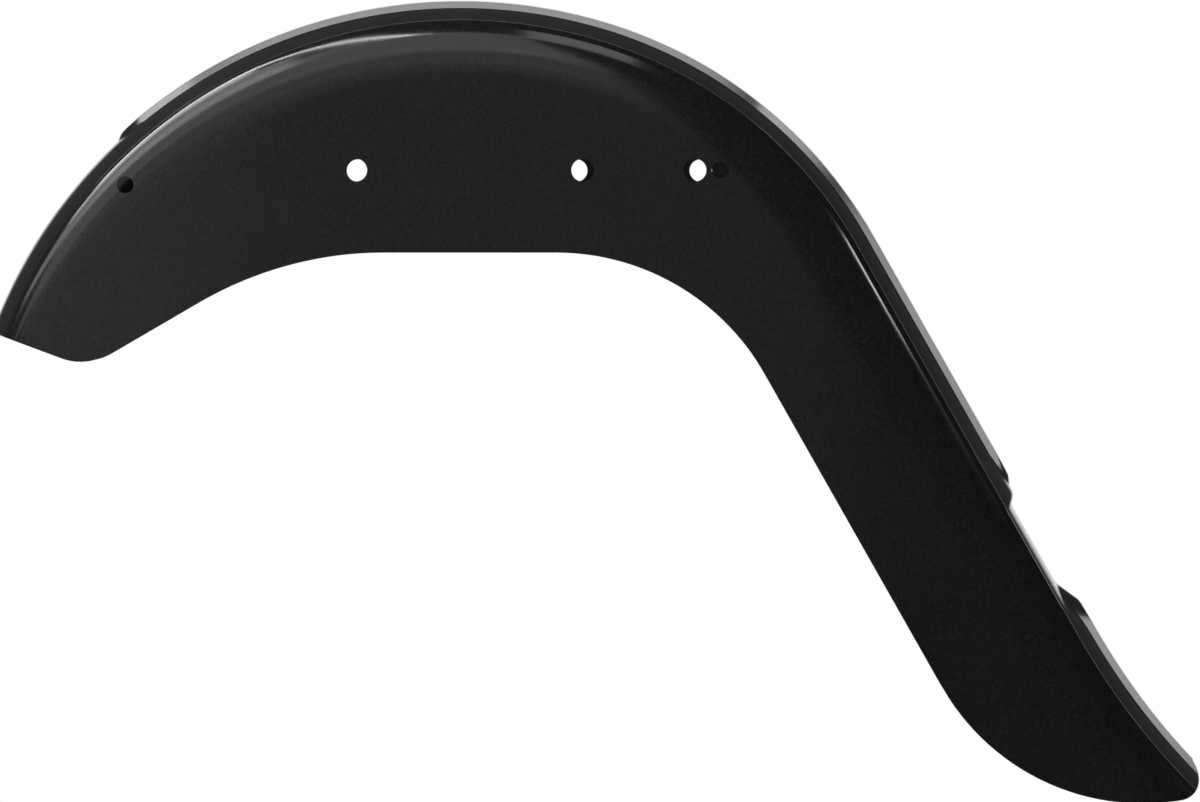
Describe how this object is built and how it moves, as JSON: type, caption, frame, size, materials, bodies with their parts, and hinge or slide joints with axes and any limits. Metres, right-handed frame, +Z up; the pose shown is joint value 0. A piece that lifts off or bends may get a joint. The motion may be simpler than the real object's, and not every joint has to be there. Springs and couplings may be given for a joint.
{
  "type": "motorcycle rear fender",
  "caption": "Long pressed steel rear fender with deep flat skirts, a raised centre ridge, a lowered tail lamp pad and a flicked tail, with bolt holes for its struts.",
  "frame": {"origin": "centre of the fender's box", "axes": "+X to the rear of the bike, towards the tail; +Y across the bike to its right side; +Z up"},
  "size_m": [0.9648, 0.19, 0.6404],
  "materials": {
    "coated_steel": "satin black electrocoat"
  },
  "bodies": {
    "root": {"fender_shell": "coated_steel"}
  },
  "joints": []
}
